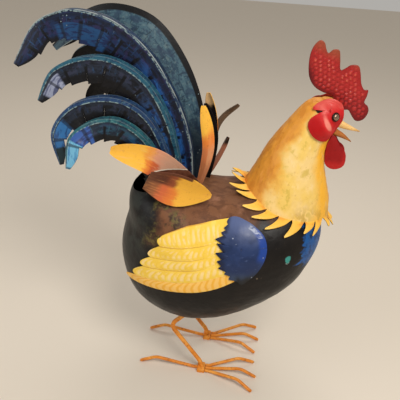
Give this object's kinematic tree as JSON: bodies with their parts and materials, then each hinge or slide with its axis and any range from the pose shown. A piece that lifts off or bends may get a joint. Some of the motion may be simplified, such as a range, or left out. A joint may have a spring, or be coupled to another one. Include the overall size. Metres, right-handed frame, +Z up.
{
  "type": "metal rooster sculpture",
  "caption": "Standing rooster of painted hammered sheet metal, with a hollow body, folded sickle tail feathers, a flat comb and bent rod legs.",
  "frame": {"origin": "middle of the footprint box, on the surface that the feet stand on", "axes": "+Z up, +X the way the bird faces, -Y its right side"},
  "size_m": [0.8194, 0.3958, 0.9737],
  "materials": {
    "body_paint": "glossy black and brown paint over hammered sheet",
    "yellow_paint": "satin yellow paint with orange shading",
    "red_paint": "glossy red paint",
    "navy_paint": "glossy navy paint",
    "blue_paint": "satin black, blue and teal paint",
    "amber_paint": "satin yellow to rust paint",
    "umber_paint": "satin dark brown paint",
    "eye_brass": "worn dark brass",
    "beak_paint": "satin cream paint",
    "leg_paint": "satin orange paint"
  },
  "bodies": {
    "root": {"body_shell": "body_paint", "neck_hackle": "yellow_paint", "comb": "red_paint", "beak_upper": "beak_paint", "beak_lower": "amber_paint", "face_plate_right": "red_paint", "face_plate_left": "red_paint", "eye_right": "eye_brass", "eye_left": "eye_brass", "wattle_right": "red_paint", "wattle_left": "red_paint", "wing_right": "yellow_paint", "wing_left": "yellow_paint", "wing_shoulder_right": "navy_paint", "wing_shoulder_left": "navy_paint", "sickle_top_right": "blue_paint", "sickle_top_left": "blue_paint", "sickle_upper_right": "blue_paint", "sickle_upper_left": "blue_paint", "sickle_middle_right": "blue_paint", "sickle_middle_left": "blue_paint", "sickle_lower_right": "blue_paint", "sickle_lower_left": "blue_paint", "covert_rear": "amber_paint", "covert_rear_left": "amber_paint", "covert_flank": "amber_paint", "covert_upright": "amber_paint", "covert_upright_left": "amber_paint", "covert_dark": "umber_paint", "covert_far_high": "umber_paint", "covert_far_low": "umber_paint", "leg_right": "leg_paint", "leg_left": "leg_paint", "ankle_pad_right": "leg_paint", "ankle_pad_left": "leg_paint", "toe_inner_right": "leg_paint", "toe_middle_right": "leg_paint", "toe_outer_right": "leg_paint", "toe_back_right": "leg_paint", "toe_inner_left": "leg_paint", "toe_middle_left": "leg_paint", "toe_outer_left": "leg_paint", "toe_back_left": "leg_paint"}
  },
  "joints": []
}
